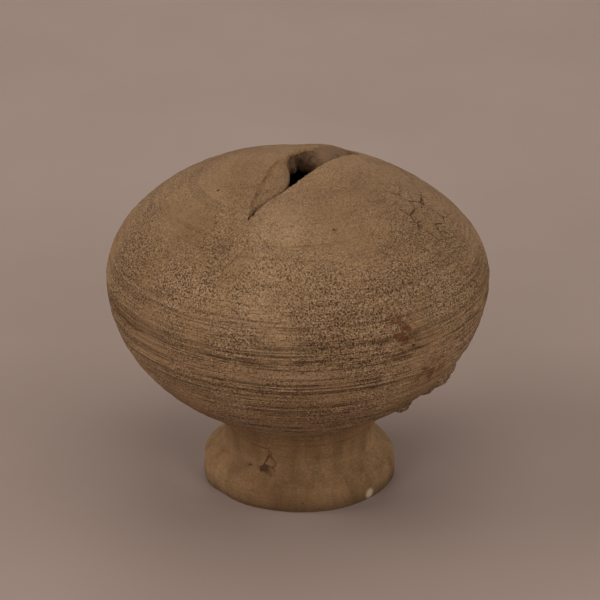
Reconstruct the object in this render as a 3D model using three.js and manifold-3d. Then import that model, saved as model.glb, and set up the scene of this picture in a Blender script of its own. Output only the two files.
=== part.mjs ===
// A wheel-thrown earthenware money box: a closed hollow body with a knife-cut coin slot in its crown,
// on a flared foot. Millimetres, +Z up, origin at the centre of the ring it stands on, slot along X.
// Each mesh is one piece of the potter's clay: two thrown halves joined rim to rim with slip, a thrown
// foot joined to the bowl with slip and a luting coil, and two lumps of stray clay.
import * as THREE from "three";
import { mergeVertices } from "three/addons/utils/BufferGeometryUtils.js";
import Module from "manifold-3d";

const wasm = await Module();
wasm.setup();

// Body, outside and walls
const bodyRadius = 45;
const widestHeight = 51.5;
const crownRise = 28.3; // from the widest level to the crown
const crownRoundness = 1.84; // superellipse power, 2 is a plain ellipse
const crownLean = 1; // the thrown dome dried a little to one side
const leanDirection = 124.6; // degrees round from +X
const bowlDepth = 36.3; // from the widest level to where the bowl's curve would close
const bowlRoundness = 1.95;
const bowlSeatRadius = 18.6; // flat turned under the bowl for the foot
const shoulderWall = 4.2;
const crownWall = 4.8;
const floorWall = 5.4;
const throwingPitch = 5.2; // finger rings inside the walls
const throwingDepth = 0.35;

// Seam between the two thrown halves
const seamHeight = 49.2;
const seamSlipThickness = 0.8;
const seamBeadReach = 1.4; // squeezed slip standing into the hollow
const seamBeadHeight = 3;

// Foot
const standingRadius = 22.4;
const footRadius = 23.6;
const footEdgeHeight = 2.2; // height of the foot's widest point
const neckRadius = 18.9;
const neckHeight = 12.4;
const footWall = 6; // width of the ring it stands on
const footBoreRadius = 12.8; // at the top of the hollow foot
const spigotRadius = 16.2; // raised seat inside the luting coil
const spigotHeight = 3.2;
const footSlipThickness = 0.6;
const coilReach = 3; // outwards under the bowl from the neck

// Coin slot, seen from above: a straight near edge and a bowed, chipped far edge
const slotStart = -23.8;
const slotLength = 42;
const slotNearEdge = -3.3;
const slotWidth = 6.2;
const chipCentre = 4.6;
const chipLength = 9;
const chipDepth = 1.5;
const nearLipDrop = 1.9; // the knife pushed this lip down
const farLipRise = 0.7; // and lifted this one
const lipReach = 17; // how far from the slot the clay moved

// Stray clay: degrees round from +X, height, and reach along the wall, up it and out of it
const largeLump = { turn: -82, height: 30, along: 5.2, up: 4.4, out: 2.5 };
const smallLump = { turn: -92, height: 25.5, along: 2.6, up: 1.9, out: 1.4 };

const clearance = 0.3; // between curved faces that meet

// Fineness
const turnSteps = 60;
const crownSteps = 16;
const bowlSteps = 12;
const innerSteps = 11;
const slotSteps = 36;

const bodyClay = new THREE.MeshStandardMaterial({ color: 0x82654a, roughness: 0.92, metalness: 0 });
const footClay = new THREE.MeshStandardMaterial({ color: 0x7a5d42, roughness: 0.88, metalness: 0 });
const slip = new THREE.MeshStandardMaterial({ color: 0x5f4630, roughness: 0.95, metalness: 0 });
const strayClay = new THREE.MeshStandardMaterial({ color: 0x75593f, roughness: 0.95, metalness: 0 });

const point = (r, z) => new THREE.Vector2(r, z);

// A superellipse quarter: its radius at a distance up or down from the widest level, and back again.
const ovalRadius = (away, oval) =>
  oval.radius * (1 - Math.min(away / oval.height, 1) ** oval.power) ** (1 / oval.power);
const ovalAway = (r, oval) =>
  oval.height * (1 - Math.min(r / oval.radius, 1) ** oval.power) ** (1 / oval.power);

// Points along such a quarter from one distance to another, closer together where it curves more.
function ovalPoints(oval, side, fromAway, toAway, steps) {
  const turnAt = (away) => Math.asin(Math.min(away / oval.height, 1) ** (oval.power / 2));
  const from = turnAt(fromAway);
  const to = turnAt(toAway);
  return Array.from({ length: steps + 1 }, (_, i) => {
    const turn = from + ((to - from) * i) / steps;
    const onAxis = Math.cos(turn) < 1e-6;
    const r = onAxis ? 0 : oval.radius * Math.cos(turn) ** (2 / oval.power);
    return point(r, widestHeight + side * oval.height * Math.sin(turn) ** (2 / oval.power));
  });
}

const outerDome = { radius: bodyRadius, height: crownRise, power: crownRoundness };
const outerBowl = { radius: bodyRadius, height: bowlDepth, power: bowlRoundness };
const seatAway = ovalAway(bowlSeatRadius, outerBowl);
const seatHeight = widestHeight - seatAway;
const innerRadius = bodyRadius - shoulderWall;
const innerDome = { radius: innerRadius, height: crownRise - crownWall, power: crownRoundness };
const innerBowl = { radius: innerRadius, height: seatAway - floorWall, power: bowlRoundness };
const seamTop = seamHeight + seamSlipThickness;
const outerRimAt = (z) => point(ovalRadius(widestHeight - z, outerBowl), z);
const innerRimAt = (z) => point(ovalRadius(widestHeight - z, innerBowl), z);

function solidOf(geometry) {
  const bare = geometry.clone();
  bare.deleteAttribute("normal");
  bare.deleteAttribute("uv");
  const merged = mergeVertices(bare, 1e-4);
  const corners = merged.index.array;
  const kept = [];
  for (let i = 0; i < corners.length; i += 3) {
    const [a, b, c] = corners.slice(i, i + 3);
    if (a !== b && b !== c && c !== a) kept.push(a, b, c);
  }
  const vertProperties = Float32Array.from(merged.attributes.position.array);
  return new wasm.Manifold(
    new wasm.Mesh({ numProp: 3, vertProperties, triVerts: Uint32Array.from(kept) }),
  );
}

function geometryOf(solid) {
  const mesh = solid.getMesh();
  const geometry = new THREE.BufferGeometry();
  geometry.setAttribute("position", new THREE.BufferAttribute(mesh.vertProperties, 3));
  geometry.setIndex(new THREE.BufferAttribute(mesh.triVerts, 1));
  geometry.computeVertexNormals();
  return geometry;
}

const revolved = (profile) => new THREE.LatheGeometry(profile, turnSteps).rotateX(Math.PI / 2);

function piece(name, geometry, material) {
  const mesh = new THREE.Mesh(geometry, material);
  mesh.name = name;
  return mesh;
}

// The potter's finger rings on an inner wall, fading out at the seam and on the axis.
function withThrowingRings(wall) {
  return wall.map((p) => {
    const fade = Math.min(1, Math.abs(p.y - seamHeight) / throwingPitch, p.x / bowlSeatRadius);
    const ripple = throwingDepth * fade * Math.sin((2 * Math.PI * p.y) / throwingPitch);
    return point(p.x - ripple, p.y);
  });
}

function moveEach(geometry, move) {
  const places = geometry.getAttribute("position");
  const place = new THREE.Vector3();
  for (let i = 0; i < places.count; i++) {
    place.fromBufferAttribute(places, i);
    move(place);
    places.setXYZ(i, place.x, place.y, place.z);
  }
  return geometry;
}

function domeShell() {
  const inside = ovalPoints(innerDome, 1, innerDome.height, 0, innerSteps);
  const outside = ovalPoints(outerDome, 1, 0, crownRise, crownSteps);
  const shell = revolved([...withThrowingRings(inside), innerRimAt(seamTop), outerRimAt(seamTop), ...outside]);
  const lean = THREE.MathUtils.degToRad(leanDirection);
  return moveEach(shell, (place) => {
    const share = Math.max((place.z - widestHeight) / crownRise, 0) ** 2;
    place.x += crownLean * share * Math.cos(lean);
    place.y += crownLean * share * Math.sin(lean);
  });
}

// The far edge of the slot bows out quickly, runs level and closes late at the back.
function slotOutline() {
  const chipStart = chipCentre - chipLength / 2;
  const outline = new THREE.Shape();
  outline.moveTo(slotStart, slotNearEdge);
  outline.lineTo(slotStart + slotLength, slotNearEdge);
  for (let i = slotSteps - 1; i > 0; i--) {
    const along = i / slotSteps;
    const x = slotStart + slotLength * along;
    const bow = slotWidth * Math.sin(Math.PI * along ** 1.18) ** 0.8;
    const intoChip = THREE.MathUtils.clamp((x - chipStart) / chipLength, 0, 1);
    const chip = chipDepth * Math.sin(Math.PI * intoChip) ** 0.7;
    outline.lineTo(x, slotNearEdge + bow + chip);
  }
  outline.closePath();
  return outline;
}

function dome() {
  const knife = new THREE.ExtrudeGeometry(slotOutline(), { depth: crownRise * 1.5, bevelEnabled: false });
  knife.translate(0, 0, widestHeight);
  const cut = geometryOf(solidOf(domeShell()).subtract(solidOf(knife)));
  const middle = slotStart + slotLength / 2;
  moveEach(cut, (place) => {
    if (place.z < widestHeight) return;
    const alongSlot = Math.min(Math.abs(place.x - middle) / (slotLength / 2), 1);
    const fromSlot = Math.min(Math.abs(place.y - slotNearEdge) / lipReach, 1);
    const share = (1 - alongSlot ** 2) ** 2 * (1 - fromSlot ** 2) ** 2;
    const isNear = place.y < slotNearEdge + 1e-3;
    place.z += share * (isNear ? -nearLipDrop : farLipRise);
  });
  cut.computeVertexNormals();
  return cut;
}

function bowl() {
  const seamAway = widestHeight - seamHeight;
  const outside = ovalPoints(outerBowl, -1, seatAway, seamAway, bowlSteps);
  const inside = ovalPoints(innerBowl, -1, seamAway, innerBowl.height, innerSteps);
  return revolved([point(0, seatHeight), ...outside, ...withThrowingRings(inside)]);
}

// Slip between the rims, flush outside and squeezed into a soft bead inside.
function seamSlip() {
  const low = innerRimAt(seamHeight);
  const high = innerRimAt(seamTop);
  const middle = (seamHeight + seamTop) / 2;
  const beadRoot = low.x - clearance;
  const beadSteps = 6;
  const bead = Array.from({ length: beadSteps + 1 }, (_, i) => {
    const turn = Math.PI * (1 / 2 - i / beadSteps);
    const r = beadRoot - clearance - seamBeadReach * Math.cos(turn);
    return point(r, middle + (seamBeadHeight / 2) * Math.sin(turn));
  });
  const web = [point(beadRoot, seamTop), ...bead, point(beadRoot, seamHeight)];
  return revolved([low, outerRimAt(seamHeight), outerRimAt(seamTop), high, ...web, low]);
}

const footTop = seatHeight - footSlipThickness;
const ledgeHeight = footTop - spigotHeight;

// A hollow pedestal: rounded standing edge, hollow flare, straight neck, and a spigot for the coil.
function foot() {
  const edgeSteps = 4;
  const flareSteps = 8;
  const boreSteps = 4;
  const profile = [point(standingRadius - footWall, 0), point(standingRadius, 0)];
  for (let i = 1; i <= edgeSteps; i++) {
    const turn = (Math.PI / 2) * (i / edgeSteps);
    const r = standingRadius + (footRadius - standingRadius) * Math.sin(turn);
    profile.push(point(r, footEdgeHeight * (1 - Math.cos(turn))));
  }
  for (let i = 1; i <= flareSteps; i++) {
    const rise = i / flareSteps;
    const r = neckRadius + (footRadius - neckRadius) * (1 - rise) ** 2;
    profile.push(point(r, footEdgeHeight + (neckHeight - footEdgeHeight) * rise));
  }
  profile.push(point(neckRadius, ledgeHeight), point(spigotRadius, ledgeHeight));
  profile.push(point(spigotRadius, footTop));
  for (let i = 0; i <= boreSteps; i++) {
    const drop = i / boreSteps;
    const r = footBoreRadius + (standingRadius - footWall - footBoreRadius) * drop ** 1.5;
    profile.push(point(r, footTop * (1 - drop)));
  }
  return revolved(profile);
}

// Slip under the bowl's turned seat.
function footSlip() {
  const corners = [
    point(footBoreRadius, footTop),
    point(spigotRadius, footTop),
    point(spigotRadius, seatHeight),
    point(footBoreRadius, seatHeight),
  ];
  return revolved([...corners, corners[0]]);
}

// A coil of soft clay smoothed into the angle between the foot's neck and the bowl.
function neckCoil() {
  const filletSteps = 6;
  const underSteps = 3;
  const edge = neckRadius + coilReach;
  const grown = { radius: outerBowl.radius + clearance, height: outerBowl.height + clearance, power: bowlRoundness };
  const inner = spigotRadius + clearance;
  const seat = point(bowlSeatRadius, seatHeight - clearance);
  const under = ovalPoints(grown, -1, ovalAway(edge, grown), ovalAway(bowlSeatRadius + clearance, grown), underSteps);
  const fillet = [];
  for (let i = 0; i < filletSteps; i++) {
    const rise = i / filletSteps;
    const r = neckRadius + coilReach * rise ** 3;
    fillet.push(point(r, ledgeHeight + (under[0].y - ledgeHeight) * rise ** 0.8));
  }
  const bottom = point(inner, ledgeHeight);
  return revolved([bottom, ...fillet, ...under, seat, point(inner, seat.y), bottom]);
}

// A lump pressed on to the wall, with its back cut to the bowl's curve.
function lump(size) {
  const away = widestHeight - size.height;
  const wallRadius = ovalRadius(away, outerBowl);
  const power = bowlRoundness - 1;
  const downward = (away / bowlDepth) ** power / bowlDepth;
  const outward = (wallRadius / bodyRadius) ** power / bodyRadius;
  const ball = moveEach(new THREE.SphereGeometry(1, 20, 12), (place) => {
    const knob = 1 + 0.12 * Math.sin(4 * place.y + 3 * place.z) + 0.08 * Math.cos(7 * place.z - 2 * place.y);
    place.set(place.x * size.out, place.y * size.along, place.z * size.up).multiplyScalar(knob);
  });
  ball.rotateY(Math.atan2(downward, outward));
  ball.translate(wallRadius, 0, size.height);
  ball.rotateZ(THREE.MathUtils.degToRad(size.turn));
  const grown = { radius: bodyRadius + clearance, height: bowlDepth + clearance, power: bowlRoundness };
  const cutterSteps = 40;
  const cutter = revolved([...ovalPoints(grown, -1, grown.height, 0, cutterSteps), point(0, widestHeight)]);
  return geometryOf(solidOf(ball).subtract(solidOf(cutter)));
}

const tidy = (geometry) => geometryOf(solidOf(geometry));

const moneyBox = new THREE.Group();
moneyBox.add(
  piece("dome", dome(), bodyClay),
  piece("bowl", tidy(bowl()), bodyClay),
  piece("seam_slip", tidy(seamSlip()), slip),
  piece("foot", tidy(foot()), footClay),
  piece("foot_slip", tidy(footSlip()), slip),
  piece("neck_coil", tidy(neckCoil()), footClay),
  piece("clay_lump_large", lump(largeLump), strayClay),
  piece("clay_lump_small", lump(smallLump), strayClay),
);

export default moneyBox;
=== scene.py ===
import math
import bmesh
import bpy
import numpy as np
from mathutils import Matrix, Vector


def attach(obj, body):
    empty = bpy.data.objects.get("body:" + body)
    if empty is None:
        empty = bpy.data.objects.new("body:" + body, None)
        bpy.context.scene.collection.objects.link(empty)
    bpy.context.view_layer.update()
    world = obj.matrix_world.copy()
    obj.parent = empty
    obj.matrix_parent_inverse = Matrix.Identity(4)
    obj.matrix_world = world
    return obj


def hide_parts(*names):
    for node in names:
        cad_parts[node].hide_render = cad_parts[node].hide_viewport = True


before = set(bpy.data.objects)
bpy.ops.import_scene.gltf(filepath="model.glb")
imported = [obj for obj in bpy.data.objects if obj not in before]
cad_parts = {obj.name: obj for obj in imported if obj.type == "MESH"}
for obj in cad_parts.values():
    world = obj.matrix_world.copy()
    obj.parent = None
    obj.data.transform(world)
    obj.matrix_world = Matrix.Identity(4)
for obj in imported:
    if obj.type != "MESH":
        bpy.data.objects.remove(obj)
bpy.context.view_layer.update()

mm = 0.001

# The thrown body in millimetres. A power of 2 would make a quarter of its outline an ellipse.
pot = {
    "radius": 45.0, "widest": 51.5, "crown": 28.3, "crownPower": 1.84, "bowlDepth": 36.3, "bowlPower": 1.95,
    "seat": 18.6, "wall": 4.2, "crownWall": 4.8, "floorWall": 5.4, "seam": 49.2, "slip": 0.8,
    "lean": 1.4, "leanTurn": 124.6, "fuller": 0.6, "fullerPower": 1.2, "higher": 0.5, "higherReach": 12.0,
    "ringPitch": 5.2, "ringDepth": 0.35,
}
# The foot in millimetres, and how far it stands off the body's axis
pedestal = {
    "standing": 22.6, "radius": 22.9, "edge": 2.2, "neck": 17.9, "neckHeight": 10.2, "wall": 6.0,
    "bore": 12.8, "borePower": 1.5, "spigot": 16.2, "spigotGap": 0.3, "spigotHeight": 3.2, "slip": 0.6,
    "coil": 3.4, "coilPower": 2.1, "coilDrop": 1.15, "flareEnd": 0.72, "flareShare": 0.9,
    "shift": 0.45, "shiftFrom": 13.0, "shiftTo": 24.0,
}
fineness = {
    "turns": 400, "steps": 96, "innerTurns": 180, "innerSteps": 60, "curveSteps": 12, "flareSteps": 24,
    "ringTurns": 120,
}
photoRight = Vector((0.568, -0.823, 0.0))
photoAway = Vector((0.823, 0.568, 0.0))
tiny = 1e-6


# Mesh work
def link(piece):
    bpy.context.scene.collection.objects.link(piece)
    return piece


def newObject(name, points, faces):
    mesh = bpy.data.meshes.new(name)
    mesh.from_pydata([tuple(p) for p in points], [], faces)
    mesh.update()
    return link(bpy.data.objects.new(name, mesh))


def pointsOf(piece):
    flat = np.empty(len(piece.data.vertices) * 3, np.float32)
    piece.data.vertices.foreach_get("co", flat)
    return flat.reshape(-1, 3).astype(float)


def normalsOf(piece):
    flat = np.empty(len(piece.data.vertices) * 3, np.float32)
    piece.data.vertices.foreach_get("normal", flat)
    return flat.reshape(-1, 3).astype(float)


def setPoints(piece, points):
    piece.data.vertices.foreach_set("co", np.asarray(points, np.float32).ravel())
    piece.data.update()


def revolve(name, profile, turns):
    # profile is (radius, height) pairs, which start and end on the axis or form a closed loop
    points = []
    starts = []
    for radius, height in profile:
        starts.append(len(points))
        steps = 1 if radius < tiny else turns
        for i in range(steps):
            turn = 2 * math.pi * i / turns
            points.append((radius * math.cos(turn), radius * math.sin(turn), height))
    faces = []
    for low in range(len(profile) - 1):
        a, b = starts[low], starts[low + 1]
        for i in range(turns):
            j = (i + 1) % turns
            if profile[low][0] < tiny:
                faces.append((a, b + j, b + i))
            elif profile[low + 1][0] < tiny:
                faces.append((a + i, a + j, b))
            else:
                faces.append((a + i, a + j, b + j, b + i))
    return newObject(name, points, faces)


def applyModifiers(piece):
    graph = bpy.context.evaluated_depsgraph_get()
    mesh = bpy.data.meshes.new_from_object(piece.evaluated_get(graph))
    piece.modifiers.clear()
    piece.data = mesh
    return piece


def cleanMesh(piece, gap=0.002):
    # Joins points that lie on each other and turns every face outward
    fixed = bmesh.new()
    fixed.from_mesh(piece.data)
    bmesh.ops.remove_doubles(fixed, verts=fixed.verts[:], dist=gap)
    bmesh.ops.dissolve_degenerate(fixed, edges=fixed.edges[:], dist=gap)
    bmesh.ops.recalc_face_normals(fixed, faces=fixed.faces[:])
    fixed.to_mesh(piece.data)
    fixed.free()
    return piece


def cutWith(piece, cutter):
    cut = piece.modifiers.new("cut", "BOOLEAN")
    cut.operation = "DIFFERENCE"
    cut.object = cutter
    cut.solver = "EXACT"
    applyModifiers(piece)
    bpy.data.objects.remove(cutter)
    return piece


def sliceBetween(piece, name, low, high):
    # The part of a closed piece between two heights, with flat ends
    part = bmesh.new()
    part.from_mesh(piece.data)
    for height, keepUpper in ((low, True), (high, False)):
        if height is None:
            continue
        found = bmesh.ops.bisect_plane(
            part, geom=part.verts[:] + part.edges[:] + part.faces[:],
            plane_co=(0, 0, height), plane_no=(0, 0, 1),
            clear_inner=keepUpper, clear_outer=not keepUpper)
        rim = [e for e in found["geom_cut"] if isinstance(e, bmesh.types.BMEdge)]
        bmesh.ops.triangle_fill(part, edges=rim, use_beauty=True)
    bmesh.ops.recalc_face_normals(part, faces=part.faces[:])
    mesh = bpy.data.meshes.new(name)
    part.to_mesh(mesh)
    part.free()
    return link(bpy.data.objects.new(name, mesh))


# Noise that comes out the same on every run, from large odd factors that scatter a lattice's corners
scatter = {"places": (374761393, 668265263, 1440662683), "seed": 974634777, "last": 1274126177}
sixteenBits = 0xFFFF


def latticeValue(cells, seed):
    value = cells[..., 0] * scatter["places"][0] + cells[..., 1] * scatter["places"][1]
    value = value + cells[..., 2] * scatter["places"][2] + seed * scatter["seed"]
    value = (value ^ (value >> 13)) * scatter["last"]
    value = value ^ (value >> 16)
    return (value & sixteenBits) / (sixteenBits / 2) - 1.0


def noise(points, size, seed):
    places = np.asarray(points) / size
    cell = np.floor(places).astype(np.int64)
    part = places - cell
    part = part * part * (3 - 2 * part)
    total = 0.0
    for corner in np.ndindex(2, 2, 2):
        weight = np.prod(np.where(corner, part, 1 - part), axis=-1)
        total = total + weight * latticeValue(cell + np.array(corner), seed)
    return total


def layeredNoise(points, size, seed, layers=3):
    # Each layer is half as large and half as strong as the one before
    total = 0.0
    for layer in range(layers):
        total = total + noise(points, size / 2**layer, seed + 11 * layer) / 2**layer
    return total


def fadeBetween(value, start, end):
    share = np.clip((value - start) / (end - start), 0, 1)
    return share * share * (3 - 2 * share)


# A quarter of the outline, from one distance off the widest level to another. side is 1 above it, -1 below.
def ovalProfile(radius, height, power, side, fromAway, toAway, steps):
    def turnAt(away):
        return math.asin(min(away / height, 1) ** (power / 2))

    found = []
    for turn in np.linspace(turnAt(fromAway), turnAt(toAway), steps + 1):
        onAxis = math.cos(turn) < tiny
        r = 0.0 if onAxis else radius * math.cos(turn) ** (2 / power)
        found.append((r, pot["widest"] + side * height * math.sin(turn) ** (2 / power)))
    return found


def ovalAway(r, radius, height, power):
    return height * (1 - min(r / radius, 1) ** power) ** (1 / power)


seatAway = ovalAway(pot["seat"], pot["radius"], pot["bowlDepth"], pot["bowlPower"])
seatHeight = pot["widest"] - seatAway
innerRadius = pot["radius"] - pot["wall"]
innerCrown = pot["crown"] - pot["crownWall"]
innerDepth = seatAway - pot["floorWall"]
footTop = seatHeight - pedestal["slip"]
ledgeHeight = footTop - pedestal["spigotHeight"]

# The knife cut over the crown, in millimetres. Its near edge is straight. Its far side is a soft lobe in
# front, a torn hollow in the middle and a clean slanted face at the blunt back end.
slotShape = {
    "near": -3.3, "slit": 0.1, "steps": 190, "levels": 14, "depth": 5.2, "through": 9.0, "lowest": 60.0,
    "farX": (-25.0, -22.6, -20.0, -13.0, -7.0, -3.0, -0.5, 4.0, 7.0, 9.0, 12.0, 16.0, 18.6, 20.2, 20.8),
    "farWidth": (0.1, 1.3, 2.7, 4.7, 6.4, 7.2, 6.6, 7.3, 7.8, 7.2, 6.7, 6.8, 6.2, 4.2, 0.1),
    "lobeX": (-25.0, -11.5, -8.0, -5.0, -2.0, 0.6), "lobeWidth": (0.1, 0.1, 1.1, 2.5, 4.3, 7.0),
    "lobeDepth": 3.4, "lobePower": 2.3,
    "backStart": 6.0, "backEnd": 12.0, "backDepth": 2.6, "backLate": 1.5, "closeLength": 2.0,
}
# How the knife left the lips: depth or height, where along the cut, and how far it spreads
lips = {
    "fadeIn": (-26, -15), "fadeOut": (18, 23), "nearReach": 17.0, "farReach": 24.0,
    "nearDrop": 1.9, "nearPlace": -5, "nearSpread": 13, "farRise": 0.75, "farPlace": -4, "farSpread": 17,
    "backRise": 0.8, "backPlace": 16, "backSpread": 5.5, "backAcross": 6.5, "backReach": 9.0,
    "backFade": (19.5, 24), "onEdge": 1e-3,
}


def topOf(x, y):
    r = math.hypot(x, y)
    return pot["widest"] + ovalAway(r, pot["radius"], pot["crown"], pot["crownPower"])


def farEdge(x, depth):
    # How far from the near edge the far side of the cut lies, at a depth under the surface
    shape = slotShape
    edge = float(np.interp(x, shape["farX"], shape["farWidth"]))
    if x < shape["lobeX"][-1]:
        low = float(np.interp(x, shape["lobeX"], shape["lobeWidth"]))
        turnIn = 1 - (1 - min(depth / shape["lobeDepth"], 1)) ** shape["lobePower"]
        edge += (min(low, edge) - edge) * turnIn
    elif x > shape["backStart"]:
        span = shape["backEnd"] - shape["backStart"]
        closing = min((x - shape["backStart"]) / shape["closeLength"], 1)
        late = shape["backLate"] * max((shape["backEnd"] - x) / span, 0)
        edge += (shape["slit"] - edge) * closing * min(max(depth - late, 0) / shape["backDepth"], 1)
    return max(edge, shape["slit"])


def slotCutter():
    shape = slotShape
    near = shape["near"]
    sections = []
    for x in np.linspace(shape["farX"][0], shape["farX"][-1], shape["steps"]):
        top = topOf(x, near + farEdge(x, 0))
        above, below = top + shape["through"], top - shape["through"]
        section = [(x, near, below), (x, near, above), (x, near + farEdge(x, 0), above)]
        for depth in np.linspace(0, shape["depth"], shape["levels"]):
            section.append((x, near + farEdge(x, depth), top - depth))
        section.append((x, near + farEdge(x, shape["depth"]), below))
        sections.append(section)
    width = len(sections[0])
    points = [p for section in sections for p in section]
    faces = [tuple(range(width)), tuple(range(len(points) - width, len(points)))[::-1]]
    for i in range(len(sections) - 1):
        for j in range(width):
            k = (j + 1) % width
            faces.append((i * width + j, (i + 1) * width + j, (i + 1) * width + k, i * width + k))
    return cleanMesh(newObject("knife", points, faces))


def bell(value, place, width):
    return np.exp(-(((value - place) / width) ** 2))


def pushLips(points):
    # The near lip sinks in the middle of the cut. The far lip stands, most at the back.
    x, y = points[:, 0], points[:, 1]
    near = slotShape["near"]
    isNear = y < near + lips["onEdge"]
    isDome = points[:, 2] > pot["widest"]
    reach = np.where(isNear, lips["nearReach"], lips["farReach"])
    share = (1 - np.minimum(np.abs(y - near) / reach, 1) ** 2) ** 2 * isDome
    ends = fadeBetween(x, *lips["fadeIn"]) * (1 - fadeBetween(x, *lips["fadeOut"]))
    sink = lips["nearDrop"] * bell(x, lips["nearPlace"], lips["nearSpread"])
    rise = lips["farRise"] * bell(x, lips["farPlace"], lips["farSpread"])
    points[:, 2] += share * ends * np.where(isNear, -sink, rise)
    fromLip = np.minimum(np.abs(y - near - lips["backAcross"]) / lips["backReach"], 1)
    backShare = (1 - fromLip**2) ** 2 * bell(x, lips["backPlace"], lips["backSpread"]) * ~isNear * isDome
    points[:, 2] += lips["backRise"] * backShare * (1 - fadeBetween(x, *lips["backFade"]))
    return points


def innerProfile():
    # The hollow, from its floor to its crown, with finger rings
    steps = fineness["innerSteps"]
    inner = ovalProfile(innerRadius, innerDepth, pot["bowlPower"], -1, innerDepth, 0, steps)
    inner += ovalProfile(innerRadius, innerCrown, pot["crownPower"], 1, 0, innerCrown, steps)[1:]
    rings = []
    for r, z in inner:
        fade = min(1, abs(z - pot["seam"]) / pot["ringPitch"], r / pot["seat"])
        ripple = pot["ringDepth"] * fade * math.sin(2 * math.pi * z / pot["ringPitch"])
        rings.append((max(r - ripple, 0.0) if r > 0 else 0.0, z))
    return rings


def outerProfile():
    # From the crown down over the bowl, the neck and the foot, and up into the foot's bore
    foot = pedestal
    steps, curveSteps = fineness["steps"], fineness["curveSteps"]
    outer = ovalProfile(pot["radius"], pot["crown"], pot["crownPower"], 1, pot["crown"], 0, steps)
    coilAway = ovalAway(foot["neck"] + foot["coil"], pot["radius"], pot["bowlDepth"], pot["bowlPower"])
    outer += ovalProfile(pot["radius"], pot["bowlDepth"], pot["bowlPower"], -1, 0, coilAway, steps)[1:]
    coilTop = pot["widest"] - coilAway
    for i in range(1, curveSteps + 1):
        drop = i / curveSteps
        r = foot["neck"] + foot["coil"] * (1 - drop) ** foot["coilPower"]
        outer.append((r, coilTop + (foot["neckHeight"] - coilTop) * drop ** foot["coilDrop"]))
    for i in range(1, fineness["flareSteps"] + 1):
        drop = i / fineness["flareSteps"]
        out = min(drop / foot["flareEnd"], 1)
        out = foot["flareShare"] * out * out * (3 - 2 * out) + (1 - foot["flareShare"]) * drop
        r = foot["neck"] + (foot["radius"] - foot["neck"]) * out
        outer.append((r, foot["neckHeight"] + (foot["edge"] - foot["neckHeight"]) * drop))
    for i in range(1, curveSteps + 1):
        turn = math.pi / 2 * i / curveSteps
        r = foot["standing"] + (foot["radius"] - foot["standing"]) * math.cos(turn)
        outer.append((r, foot["edge"] * (1 - math.sin(turn))))
    boreMouth = foot["standing"] - foot["wall"]
    for i in range(curveSteps + 1):
        rise = i / curveSteps
        r = foot["bore"] + (boreMouth - foot["bore"]) * (1 - rise) ** foot["borePower"]
        outer.append((r, footTop * rise))
    return outer + [(foot["bore"], seatHeight), (0.0, seatHeight)]


# Unevenness as depth, size and seed, and where each kind belongs, in millimetres
bodyWear = {
    "wobble": (0.22, 28, 3), "dent": (0.13, 8.5, 5), "grain": (0.1, 2.0, 7), "footWobble": (0.35, 6.5, 51),
    "lipRough": (0.18, 1.4, 31), "ridgeRough": (0.34, 1.3, 37), "hollowRough": (0.7, 1.5, 41),
    "lineDepth": 0.1, "fineLine": (1.0, 1.1, 21), "wideLine": (0.8, 2.3, 23), "lineStretch": 0.045,
    "lined": (52, 68), "lineLeast": 0.25, "foot": (14, 20), "footEdge": (3, 10),
    "grainOffFoot": 0.6, "lineOffFoot": 0.7, "lipSpread": 1.0, "ridgeSpread": 1.3, "ridgeEnd": 6,
    "hollowPlace": (5.2, 3.8, 77.5), "hollowSize": (4.6, 2.6, 3.6),
}


def wearOf(points, kind, pattern=noise):
    depth, size, seed = bodyWear[kind]
    return depth * pattern(points, size, seed)


def weather(points, normals):
    # Uneven throwing, turning grooves and gritty wear, along the surface's normal
    wear = bodyWear
    shape = slotShape
    x, y, height = points.T
    lined = 1 - fadeBetween(height, *wear["lined"])
    onFoot = 1 - fadeBetween(height, *wear["foot"])
    push = wearOf(points, "wobble") + wearOf(points, "dent")
    push += wearOf(points, "grain", layeredNoise) * (1 - wear["grainOffFoot"] * onFoot)
    drawnOut = points * np.array([wear["lineStretch"], wear["lineStretch"], 1.0])
    grooves = wearOf(drawnOut, "fineLine") + wearOf(drawnOut, "wideLine")
    linedShare = wear["lineLeast"] + (1 - wear["lineLeast"]) * lined
    push += wear["lineDepth"] * grooves * linedShare * (1 - wear["lineOffFoot"] * onFoot)
    push += wearOf(points, "footWobble") * (1 - fadeBetween(height, *wear["footEdge"]))
    isCut = (x > shape["farX"][0]) & (x < shape["farX"][-1]) & (height > shape["lowest"])
    push += wearOf(points, "lipRough", layeredNoise) * bell(y, shape["near"], wear["lipSpread"]) * isCut
    fromRidge = y - shape["near"] - np.interp(x, shape["farX"], shape["farWidth"])
    byRidge = bell(fromRidge, 0, wear["ridgeSpread"]) * isCut * (x < wear["ridgeEnd"])
    push += wearOf(points, "ridgeRough", layeredNoise) * byRidge
    inHollow = np.exp(-(((points - wear["hollowPlace"]) / wear["hollowSize"]) ** 2).sum(1))
    push += wearOf(points, "hollowRough", layeredNoise) * inHollow
    worn = points + normals * push[:, None]
    worn[:, 2] = np.maximum(worn[:, 2], 0)
    return worn


# Where the cut shows torn clay with painted shade in its hollow, and painted shade on the clean back face.
# The radius is a little over the pot's, so the root stays real.
cutClayAndShadeMarks = {
    "radius": 45.5, "least": 0.45, "nearSlack": 0.02, "farSlack": 0.05,
    "tornShadeIn": (-0.5, 1.5), "tornShadeOut": (11, 14), "tornShadeSlant": 1.2, "cutFaceShadeIn": (5, 7),
}


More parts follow.
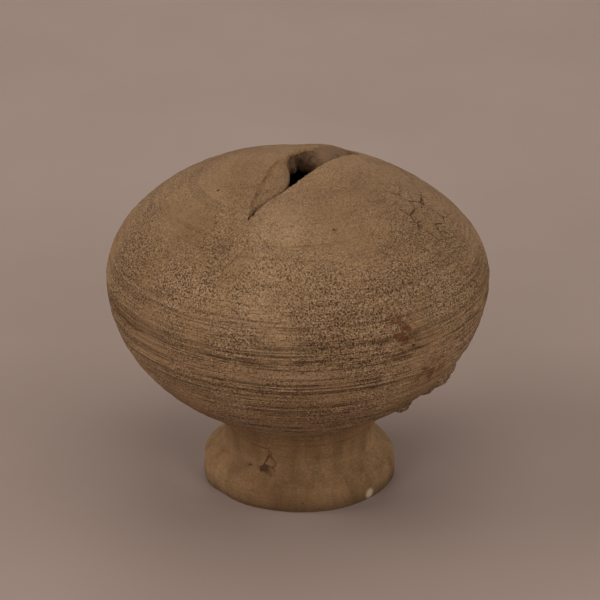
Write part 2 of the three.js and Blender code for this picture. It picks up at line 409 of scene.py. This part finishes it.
def markTornClayAndShade(piece):
    # Marks each point's share of the torn hollow, coloured as torn clay darkened with painted shade, and of
    # the clean back face, which gets painted shade
    shape = slotShape
    marks = cutClayAndShadeMarks
    x, y, z = pointsOf(piece).T
    power = pot["crownPower"]
    top = pot["widest"] + pot["crown"] * (1 - (np.hypot(x, y) / marks["radius"]) ** power) ** (1 / power)
    depth = top - z
    width = np.interp(x, shape["farX"], shape["farWidth"])
    within = (y > shape["near"] - marks["nearSlack"]) & (y < shape["near"] + width + marks["farSlack"])
    within &= (z > shape["lowest"]) & (depth > marks["least"])
    tornShadeEnd = fadeBetween(x + marks["tornShadeSlant"] * depth, *marks["tornShadeOut"])
    tornClayAndShade = within * fadeBetween(x, *marks["tornShadeIn"]) * (1 - tornShadeEnd)
    cutFaceShade = within * fadeBetween(x, *marks["cutFaceShadeIn"]) * (1 - tornClayAndShade)
    for name, share in (("tornClayAndShade", tornClayAndShade), ("cutFaceShade", cutFaceShade)):
        layer = piece.data.attributes.new(name, "FLOAT", "POINT")
        layer.data.foreach_set("value", share.astype(np.float32))


def leanOver(points):
    # The crown leans and swells to the photo's left, and the foot stands a little to its right
    turn = math.radians(pot["leanTurn"])
    side = np.array([math.cos(turn), math.sin(turn)])
    rise = (points[:, 2] - pot["widest"]) / pot["crown"]
    points[:, :2] += pot["lean"] * np.clip(rise, 0, None)[:, None] ** 2 * side
    rise = np.clip(rise, 0, 1)
    facing = points[:, :2] @ side
    swell = pot["fuller"] * np.sin(np.pi * rise ** pot["fullerPower"])
    points[:, :2] += (swell * np.clip(facing / pot["radius"], 0, 1))[:, None] * side
    points[:, 2] += pot["higher"] * np.clip(facing / pot["higherReach"], 0, 1) * rise**2
    below = 1 - fadeBetween(points[:, 2], pedestal["shiftFrom"], pedestal["shiftTo"])
    points[:, :2] += pedestal["shift"] * below[:, None] * np.array(photoRight[:2])
    return points


def makeBlank():
    # The whole pot in one piece, before it is sliced into dome, slip, bowl, coil and foot
    body = revolve("blank", outerProfile(), fineness["turns"])
    hollow = revolve("hollow", innerProfile(), fineness["innerTurns"])
    for piece in (body, hollow):
        setPoints(piece, leanOver(pointsOf(piece)))
        cleanMesh(piece)
    cutWith(body, hollow)
    cutWith(body, slotCutter())
    markTornClayAndShade(body)
    setPoints(body, pushLips(pointsOf(body)))
    setPoints(body, weather(pointsOf(body), normalsOf(body)))
    print("triangles in the blank", sum(len(face.vertices) - 2 for face in body.data.polygons))
    return body


sharpAngle = 60


def finishPiece(piece, node, material):
    # Millimetres to metres, on the frame, with its look
    piece.data.transform(Matrix.Scale(mm, 4))
    piece.data.shade_smooth()
    piece.data.set_sharp_from_angle(angle=math.radians(sharpAngle))
    piece.data.materials.clear()
    piece.data.materials.append(material)
    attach(piece, "root")
    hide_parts(node)
    return piece


# Materials
def srgb(*levels):
    return tuple(((v / 255 + 0.055) / 1.055) ** 2.4 for v in levels) + (1.0,)


class ClayTree:
    # A node tree with short names for the steps that the looks share
    def __init__(self, material):
        material.use_nodes = True
        self.tree = material.node_tree
        self.tree.nodes.clear()
        self.place = self.add("ShaderNodeTexCoord").outputs["Object"]
        self.parts = self.add("ShaderNodeSeparateXYZ", {0: self.place}).outputs

    def add(self, kind, values=None, **settings):
        node = self.tree.nodes.new(kind)
        for name, value in settings.items():
            setattr(node, name, value)
        for name, value in (values or {}).items():
            if isinstance(value, bpy.types.NodeSocket):
                self.tree.links.new(value, node.inputs[name])
            else:
                node.inputs[name].default_value = value
        return node

    def mix(self, share, first, second):
        return self.add("ShaderNodeMix", {0: share, 6: first, 7: second}, data_type="RGBA").outputs[2]

    def spread(self, value, low, high, toLow=0.0, toHigh=1.0):
        values = {0: value, 1: low, 2: high, 3: toLow, 4: toHigh}
        return self.add("ShaderNodeMapRange", values).outputs[0]

    def work(self, operation, first, second=0.0):
        return self.add("ShaderNodeMath", {0: first, 1: second}, operation=operation).outputs[0]

    def times(self, first, *others):
        for other in others:
            first = self.work("MULTIPLY", first, other)
        return first

    def plus(self, first, *others):
        for other in others:
            first = self.work("ADD", first, other)
        return first

    def noiseAt(self, scale, detail=3.0, roughness=0.55, stretch=(1, 1, 1), shift=(0, 0, 0)):
        values = {"Vector": self.place, "Scale": stretch, "Location": shift}
        moved = self.add("ShaderNodeMapping", values).outputs[0]
        values = {"Vector": moved, "Scale": scale, "Detail": detail, "Roughness": roughness}
        return self.add("ShaderNodeTexNoise", values).outputs[0]

    def cells(self, scale, feature="F1", shift=(0, 0, 0)):
        moved = self.add("ShaderNodeMapping", {"Vector": self.place, "Location": shift}).outputs[0]
        return self.add("ShaderNodeTexVoronoi", {"Vector": moved, "Scale": scale}, feature=feature)

    def nearPlace(self, centre, reach, core=0.45):
        # 1 at a place and over the core's share of the reach, then fading to 0, both in metres
        gap = self.add("ShaderNodeVectorMath", {0: self.place, 1: centre}, operation="DISTANCE")
        return self.spread(gap.outputs["Value"], reach * core, reach, 1.0, 0.0)

    def dots(self, cellNode, dotRange):
        # Round dots in the middle of the cells, and two random values for each cell
        pick = self.add("ShaderNodeSeparateColor", {0: cellNode.outputs["Color"]}).outputs
        return self.spread(cellNode.outputs["Distance"], *dotRange), pick[0], pick[1]

    def finish(self, colour, roughness, normal=None, gloss=0.2):
        values = {"Base Color": colour, "Roughness": roughness, "Specular IOR Level": gloss}
        if normal is not None:
            values["Normal"] = normal
        shader = self.add("ShaderNodeBsdfPrincipled", values)
        self.add("ShaderNodeOutputMaterial", {"Surface": shader.outputs[0]})


# Each pattern as scale per metre, detail, roughness, stretch and shift
patterns = {
    "cloud": (60, 4, 0.6), "patches": (38, 2, 0.5), "blotches": (150, 4, 0.6, (1, 1, 1), (3, 1, 2)),
    "grain": (2600, 2, 0.6), "fineLines": (1, 3, 0.6, (22, 22, 2600)),
    "wideLines": (1, 3, 0.6, (9, 9, 760), (5, 5, 5)), "lineBreaks": (240, 3, 0.6, (1, 1, 4)),
    "tornSpots": (700, 4, 0.7), "seamBends": (75, 3, 0.6), "seamBreaks": (90, 2, 0.5, (1, 1, 1), (1, 7, 3)),
    "stainSpots": (420, 3), "drips": (260, 4, 0.65, (1, 1, 0.35), (2, 6, 1)),
    "crackFray": (900, 3), "crackBreaks": (170, 2), "bumpGrain": (1300, 3, 0.6),
}
# Where each value starts to count and where it counts in full, which may lie lower, and in some what it
# then runs between. Heights and the seam's own measures are in metres.
ranges = {
    "gritFrom": (0.016, 0.026), "gritTo": (0.079, 0.066), "cloud": (0.22, 0.56), "band": (0, 1, 0.4, 1.0),
    "linesFrom": (0.015, 0.022, 0.25, 1.0), "linesTo": (0.064, 0.05, 0.15, 1.0), "patches": (0.36, 0.64),
    "blotches": (0.42, 0.72), "darkGrain": (0.5, 0.6), "paleGrain": (0.46, 0.36), "lineBreaks": (0.38, 0.6),
    "fineLine": (0.53, 0.62), "wideLine": (0.56, 0.66), "wideLow": (0, 1, 0.5, 1.0), "paleLine": (0.44, 0.3),
    "pitDot": (0.42, 0.22), "pitPick": (0.52, 0.6), "paleGritPick": (0.84, 0.9), "bigPitDot": (0.17, 0.06),
    "bigPitPick": (0.93, 0.96), "tornSpots": (0.4, 0.6), "seamWander": (0, 1, -0.0016, 0.0016),
    "seam": (0.000352, 0.00016), "seamBreaks": (0.48, 0.57), "stainSpots": (0.42, 0.6),
    "drips": (0.42, 0.66), "edge": (0.0034, 0.0005), "crack": (0.06, 0.035), "crackBreaks": (0.43, 0.49),
}
# Each mark's strength and colour
tones = {
    "blotches": (0.35, srgb(112, 80, 56)), "darkGrain": (0.72, srgb(44, 26, 12)),
    "paleGrain": (0.42, srgb(196, 168, 136)), "fineLine": (0.75, srgb(52, 30, 14)),
    "wideLine": (0.45, srgb(74, 48, 27)), "paleLine": (0.3, srgb(196, 168, 136)),
    "pit": (0.85, srgb(40, 24, 12)), "paleGrit": (0.55, srgb(198, 172, 138)),
    # The cut's clean back face is darkened here with painted shade
    "bigPit": (0.8, srgb(40, 24, 13)), "cutFaceShade": (0.8, srgb(116, 88, 64)), "stain": (0.8, srgb(92, 50, 24)),
    "seam": (0.5, srgb(50, 31, 17)), "drips": (0.45, srgb(82, 57, 33)), "edge": (0.6, srgb(70, 48, 29)),
    "chip": (0.8, srgb(190, 168, 140)), "crack": (0.85, srgb(60, 34, 17)),
}
# Cell scales per metre, places and reaches in metres, and shares of the bump's height
clayLook = {
    "pits": 1800, "bigPits": 330, "bigPitShift": (0.4, 0.2, 0.1), "cracks": 210, "crackFray": 0.05,
    # The torn hollow's colours are torn clay spots made darker with painted shade inside the recess
    "tornClayShadeDark": srgb(58, 38, 24), "tornClayShadePale": srgb(104, 74, 50), "tornClayShadeStrength": 0.85, "seamHeight": 0.0492,
    "chipPlace": (-0.0033, -0.0227, 0.0015), "chipReach": 0.0016,
    "stainPlaces": ((-0.018, -0.041, 0.054), (-0.0076, -0.0418, 0.0405)), "stainReach": 0.0062,
    "dents": {"pit": 0.6, "bigPit": 1.2, "fineLine": 0.7, "wideLine": 0.5},
    "grainRelief": 0.9, "cloudRelief": 0.4, "lineRelief": -0.5, "dentRelief": -1.0,
    "bump": 0.0006, "bumpStrength": 0.75, "roughness": 0.9,
}


def clayMaterial(name, pale, deep, lines=1.0, grit=1.0, marks=True, cracks=()):
    # lines and grit are strengths. marks adds the cut, the seam and the stains, or else the foot's drips.
    material = bpy.data.materials.new(name)
    clay = ClayTree(material)
    look = clayLook

    def pattern(kind):
        return clay.noiseAt(*patterns[kind])

    def ranged(value, kind):
        return clay.spread(value, *ranges[kind])

    def paint(under, kind, *shares):
        strength, tone = tones[kind]
        return clay.mix(clay.times(*shares, strength), under, tone)

    # Where the surface is gritty and lined, and where it is wiped smooth
    height = clay.parts[2]
    cloud = pattern("cloud")
    onBand = clay.times(ranged(height, "gritFrom"), ranged(height, "gritTo"))
    grittiness = clay.times(ranged(cloud, "cloud"), ranged(onBand, "band"), grit)
    low = clay.times(ranged(height, "linesTo"), ranged(height, "linesFrom"))
    # Colour from large patches down to grains
    grain = pattern("grain")
    colour = clay.mix(ranged(pattern("patches"), "patches"), deep, pale)
    colour = paint(colour, "blotches", ranged(pattern("blotches"), "blotches"))
    colour = paint(colour, "darkGrain", ranged(grain, "darkGrain"), grittiness)
    colour = paint(colour, "paleGrain", ranged(grain, "paleGrain"), grittiness)
    # Turning lines, drawn out round the pot
    fine = pattern("fineLines")
    broken = ranged(pattern("lineBreaks"), "lineBreaks")
    fineLine = clay.times(ranged(fine, "fineLine"), low, broken, lines)
    wideLine = clay.times(ranged(pattern("wideLines"), "wideLine"), ranged(low, "wideLow"), lines)
    colour = paint(colour, "fineLine", fineLine)
    colour = paint(colour, "wideLine", wideLine)
    colour = paint(colour, "paleLine", ranged(fine, "paleLine"), low, lines)
    # Grit: dark pits and a few pale grains
    dot, firstPick, secondPick = clay.dots(clay.cells(look["pits"]), ranges["pitDot"])
    pit = clay.times(dot, ranged(firstPick, "pitPick"), grittiness)
    paleGrit = clay.times(dot, ranged(secondPick, "paleGritPick"), grittiness)
    bigCells = clay.cells(look["bigPits"], shift=look["bigPitShift"])
    bigDot, bigPick, _ = clay.dots(bigCells, ranges["bigPitDot"])
    bigPit = clay.times(bigDot, ranged(bigPick, "bigPitPick"), grit)
    colour = paint(colour, "pit", pit)
    colour = paint(colour, "paleGrit", paleGrit)
    colour = paint(colour, "bigPit", bigPit)
    sunk = {"pit": pit, "bigPit": bigPit, "fineLine": fineLine, "wideLine": wideLine}
    dents = clay.plus(*[clay.times(share, look["dents"][kind]) for kind, share in sunk.items()])
    if marks:
        # The torn clay in the slot's hollow, darkened with painted shade, and painted shade on the clean
        # back face
        tornClayAndShade = clay.add("ShaderNodeAttribute", attribute_name="tornClayAndShade").outputs["Fac"]
        cutFaceShade = clay.add("ShaderNodeAttribute", attribute_name="cutFaceShade").outputs["Fac"]
        spots = ranged(pattern("tornSpots"), "tornSpots")
        tornColour = clay.mix(spots, look["tornClayShadeDark"], look["tornClayShadePale"])
        colour = clay.mix(clay.times(tornClayAndShade, look["tornClayShadeStrength"]), colour, tornColour)
        colour = paint(colour, "cutFaceShade", cutFaceShade)
        # The seam's wandering hairline and two iron stains
        wander = ranged(pattern("seamBends"), "seamWander")
        off = clay.work("SUBTRACT", clay.plus(height, wander), look["seamHeight"])
        seam = ranged(clay.work("ABSOLUTE", off), "seam")
        seam = clay.times(seam, ranged(pattern("seamBreaks"), "seamBreaks"))
        stain = clay.plus(*[clay.nearPlace(place, look["stainReach"]) for place in look["stainPlaces"]])
        stain = clay.times(stain, ranged(pattern("stainSpots"), "stainSpots"))
        colour = paint(colour, "stain", stain)
        colour = paint(colour, "seam", seam)
        dents = clay.plus(dents, seam)
    else:
        # Wiped clay: drips down it, a darker edge at the floor and one pale chip
        colour = paint(colour, "drips", ranged(pattern("drips"), "drips"))
        colour = paint(colour, "edge", ranged(height, "edge"))
        colour = paint(colour, "chip", clay.nearPlace(look["chipPlace"], look["chipReach"]))
    for place, reach in cracks:
        edge = clay.cells(look["cracks"], "DISTANCE_TO_EDGE").outputs["Distance"]
        frayed = clay.plus(edge, clay.times(pattern("crackFray"), look["crackFray"]))
        crack = clay.times(ranged(frayed, "crack"), clay.nearPlace(place, reach))
        crack = clay.times(crack, ranged(pattern("crackBreaks"), "crackBreaks"))
        colour = paint(colour, "crack", crack)
        dents = clay.plus(dents, crack)
    # Relief that is finer than the mesh
    relief = clay.plus(
        clay.times(pattern("bumpGrain"), look["grainRelief"], grittiness),
        clay.times(cloud, look["cloudRelief"]), clay.times(fine, look["lineRelief"], lines),
        clay.times(dents, look["dentRelief"]))
    values = {"Strength": look["bumpStrength"], "Distance": look["bump"], "Height": relief}
    bump = clay.add("ShaderNodeBump", values)
    clay.finish(colour, look["roughness"], bump.outputs[0])
    return material


# Each crazed patch is a place and how far it reaches, in metres
bodyCracks = (((0.0095, -0.0288, 0.0713), 0.0125), ((-0.0335, -0.024, 0.046), 0.004))
footCracks = (((-0.0184, -0.0015, 0.0098), 0.0055),)
bodyClay = clayMaterial("bodyClay", srgb(158, 123, 88), srgb(135, 101, 67), cracks=bodyCracks)
footClay = clayMaterial(
    "footClay", srgb(146, 111, 76), srgb(120, 88, 56), lines=0.35, grit=0.7, marks=False, cracks=footCracks)
slipClay = clayMaterial("slipClay", srgb(118, 91, 64), srgb(96, 72, 50), lines=0.4, marks=False)
strayClay = clayMaterial("strayClay", srgb(140, 110, 80), srgb(104, 76, 50), lines=0.1, marks=False)
print("clay done")

# Body
blank = makeBlank()
slipTop = pot["seam"] + pot["slip"]
finishPiece(sliceBetween(blank, "dome_skin", slipTop, None), "dome", bodyClay)
finishPiece(sliceBetween(blank, "seam_slip_skin", pot["seam"], slipTop), "seam_slip", bodyClay)
finishPiece(sliceBetween(blank, "bowl_skin", seatHeight, pot["seam"]), "bowl", bodyClay)
print("body done")

# Foot, with its spigot, inside the luting coil
def ringCutter(inside, outside, low, high):
    # A ring round the foot's axis, or a plain disc where inside is 0
    profile = [(inside, low), (outside, low), (outside, high), (inside, high)]
    if inside > 0:
        profile.append(profile[0])
    cutter = revolve("ring", profile, fineness["ringTurns"])
    cutter.data.transform(Matrix.Translation(photoRight * pedestal["shift"]))
    return cleanMesh(cutter)


clearOfFoot = 3.0
wellOutside = 40.0
foot = sliceBetween(blank, "foot_skin", None, footTop)
coil = sliceBetween(blank, "neck_coil_skin", ledgeHeight, seatHeight)
cutWith(foot, ringCutter(pedestal["spigot"], wellOutside, ledgeHeight, footTop + clearOfFoot))
coilBore = pedestal["spigot"] + pedestal["spigotGap"]
cutWith(coil, ringCutter(0.0, coilBore, ledgeHeight - clearOfFoot, seatHeight + clearOfFoot))
cleanMesh(foot)
cleanMesh(coil)
finishPiece(foot, "foot", footClay)
finishPiece(coil, "neck_coil", footClay)
bpy.data.objects.remove(blank)
# The slip ring is hidden, so it keeps the solid's own shape
slipRing = link(bpy.data.objects.new("foot_slip_skin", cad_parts["foot_slip"].data.copy()))
slipRing.data.transform(Matrix.Scale(1 / mm, 4))
finishPiece(slipRing, "foot_slip", slipClay)
print("foot done")

# Stray clay on the lower right: ragged smears that stand out of the wall and dip back under it. turn and
# along are in degrees, the other lengths in millimetres.
lumps = {
    "clay_lump_large": {
        "turn": -78.0, "height": 30.6, "along": 8.5, "up": 3.0, "tilt": 0.2, "out": 1.5, "seed": 4},
    "clay_lump_small": {
        "turn": -90.5, "height": 25.2, "along": 3.2, "up": 1.4, "tilt": 0.1, "out": 1.1, "seed": 9},
}
smearLook = {
    "across": 90, "upward": 44, "margin": 1.2, "edgePower": 0.6, "sunk": 0.22, "underWall": 0.5, "back": 1.4,
    "ragged": 0.45, "raggedSize": 3.2, "raggedLayers": 2, "grain": 0.15, "grainSize": 0.8, "grainSeed": 3,
}


def wallPoint(turn, height, outwards):
    # A point on the bowl's wall, moved outwards along its normal
    away = pot["widest"] - height
    r = pot["radius"] * (1 - (away / pot["bowlDepth"]) ** pot["bowlPower"]) ** (1 / pot["bowlPower"])
    power = pot["bowlPower"] - 1
    outSlope = (r / pot["radius"]) ** power / pot["radius"]
    downSlope = (away / pot["bowlDepth"]) ** power / pot["bowlDepth"]
    length = math.hypot(outSlope, downSlope)
    r, z = r + outwards * outSlope / length, height - outwards * downSlope / length
    angle = math.radians(turn)
    return (r * math.cos(angle), r * math.sin(angle), z)


def smear(name, values):
    look = smearLook
    across, upward = look["across"], look["upward"]
    places = []
    shares = []
    for i in range(across + 1):
        for j in range(upward + 1):
            u = look["margin"] * (2 * i / across - 1)
            v = look["margin"] * (2 * j / upward - 1)
            height = values["height"] + values["up"] * v + values["tilt"] * values["along"] * u
            places.append((values["turn"] + values["along"] * u, height))
            shares.append(1 - u * u - v * v)
    flat = np.array([wallPoint(turn, height, 0) for turn, height in places])
    ragged = layeredNoise(flat, look["raggedSize"], values["seed"], look["raggedLayers"])
    grain = noise(flat, look["grainSize"], values["seed"] + look["grainSeed"])
    full = np.maximum(shares, 0) ** look["edgePower"]
    thick = values["out"] * (full * (1.0 + look["ragged"] * ragged + look["grain"] * grain) - look["sunk"])
    thick = np.maximum(thick, -look["underWall"])
    points = [wallPoint(turn, height, t) for (turn, height), t in zip(places, thick)]
    points += [wallPoint(turn, height, -look["back"]) for turn, height in places]
    row = upward + 1
    back = len(places)
    faces = []
    for i in range(across):
        for j in range(upward):
            a, b = i * row + j, (i + 1) * row + j
            faces += [(a, b, b + 1, a + 1), (back + a, back + a + 1, back + b + 1, back + b)]
    rim = [i * row for i in range(across + 1)] + [across * row + j for j in range(1, row)]
    rim += [i * row + upward for i in range(across - 1, -1, -1)] + list(range(upward - 1, 0, -1))
    for a, b in zip(rim, rim[1:] + rim[:1]):
        faces.append((b, a, back + a, back + b))
    return newObject(name, points, faces)


for node, values in lumps.items():
    finishPiece(smear(node + "_skin", values), node, strayClay)
print("lumps done")

# Floor, lamps and camera. Lamps stand at right, away and up in metres, then have a power and a size.
view = {
    "elevation": 25.0, "distance": 0.9, "lens": 228.4, "sensor": 36, "aimRight": 0.0005, "aimHeight": 0.0447}
lamps = {
    "left": ((-0.85, 0, 0.55), 4.6, 0.5), "frontLeft": ((-0.6, -0.8, 0.32), 3.5, 0.5),
    "frontRight": ((0.6, -0.8, 0.32), 3.9, 0.5), "right": ((0.85, 0, 0.55), 2.4, 0.5),
    "top": ((0.1, 0, 1.0), 2.4, 0.7), "back": ((0, 0.85, 0.6), 2.3, 0.5),
}
lampTarget = (0, 0, 0.04)
room = {
    "floorHalf": 2, "mottle": (14, 3), "mottleRange": (0.3, 0.7), "deep": srgb(163, 141, 128),
    # The darker floor colour here is a painted shadow round the pot
    "pale": srgb(168, 146, 133), "paintedFloorShadow": srgb(140, 119, 108), "paintedFloorShadowRange": (0.035, 0.15, 0.5, 0.0),
    "roughness": 0.85, "air": srgb(158, 138, 127), "glow": 0.03,
}


def inPhoto(right, away, up):
    return photoRight * right + photoAway * away + Vector((0, 0, up))


def lookAt(thing, target):
    thing.rotation_euler = (Vector(target) - thing.location).to_track_quat("-Z", "Y").to_euler()


half = room["floorHalf"]
corners = [(-half, -half, 0), (half, -half, 0), (half, half, 0), (-half, half, 0)]
floor = newObject("floor", corners, [(0, 1, 2, 3)])
floorMaterial = bpy.data.materials.new("floorLook")
paper = ClayTree(floorMaterial)
mottle = paper.spread(paper.noiseAt(*room["mottle"]), *room["mottleRange"])
gap = paper.add("ShaderNodeVectorMath", {0: paper.place}, operation="LENGTH").outputs["Value"]
# Painted shadow: the floor turns darker towards the pot, within 15 cm of it
paintedFloorShadow = paper.spread(gap, *room["paintedFloorShadowRange"])
floorColour = paper.mix(paintedFloorShadow, paper.mix(mottle, room["deep"], room["pale"]), room["paintedFloorShadow"])
paper.finish(floorColour, room["roughness"])
floor.data.materials.append(floorMaterial)

for name, (place, power, size) in lamps.items():
    lampData = bpy.data.lights.new(name, "AREA")
    lampData.energy = power
    lampData.size = size
    lamp = link(bpy.data.objects.new(name, lampData))
    lamp.location = inPhoto(*place)
    lookAt(lamp, lampTarget)

# A pale room behind everything, which gives hardly any light
world = bpy.data.worlds.new("room")
bpy.context.scene.world = world
world.use_nodes = True
air = world.node_tree
background = air.nodes["Background"]
background.inputs[0].default_value = room["air"]
path = air.nodes.new("ShaderNodeLightPath")
glow = air.nodes.new("ShaderNodeMapRange")
glow.inputs[3].default_value = room["glow"]
air.links.new(path.outputs["Is Camera Ray"], glow.inputs[0])
air.links.new(glow.outputs[0], background.inputs[1])

cameraData = bpy.data.cameras.new("camera")
cameraData.lens = view["lens"]
cameraData.sensor_width = view["sensor"]
camera = link(bpy.data.objects.new("camera", cameraData))
aim = inPhoto(view["aimRight"], 0, view["aimHeight"])
tilt = math.radians(view["elevation"])
camera.location = aim + inPhoto(0, -math.cos(tilt), math.sin(tilt)) * view["distance"]
lookAt(camera, aim)
bpy.context.scene.camera = camera
bpy.context.scene.view_settings.view_transform = "Standard"

print("stage done")
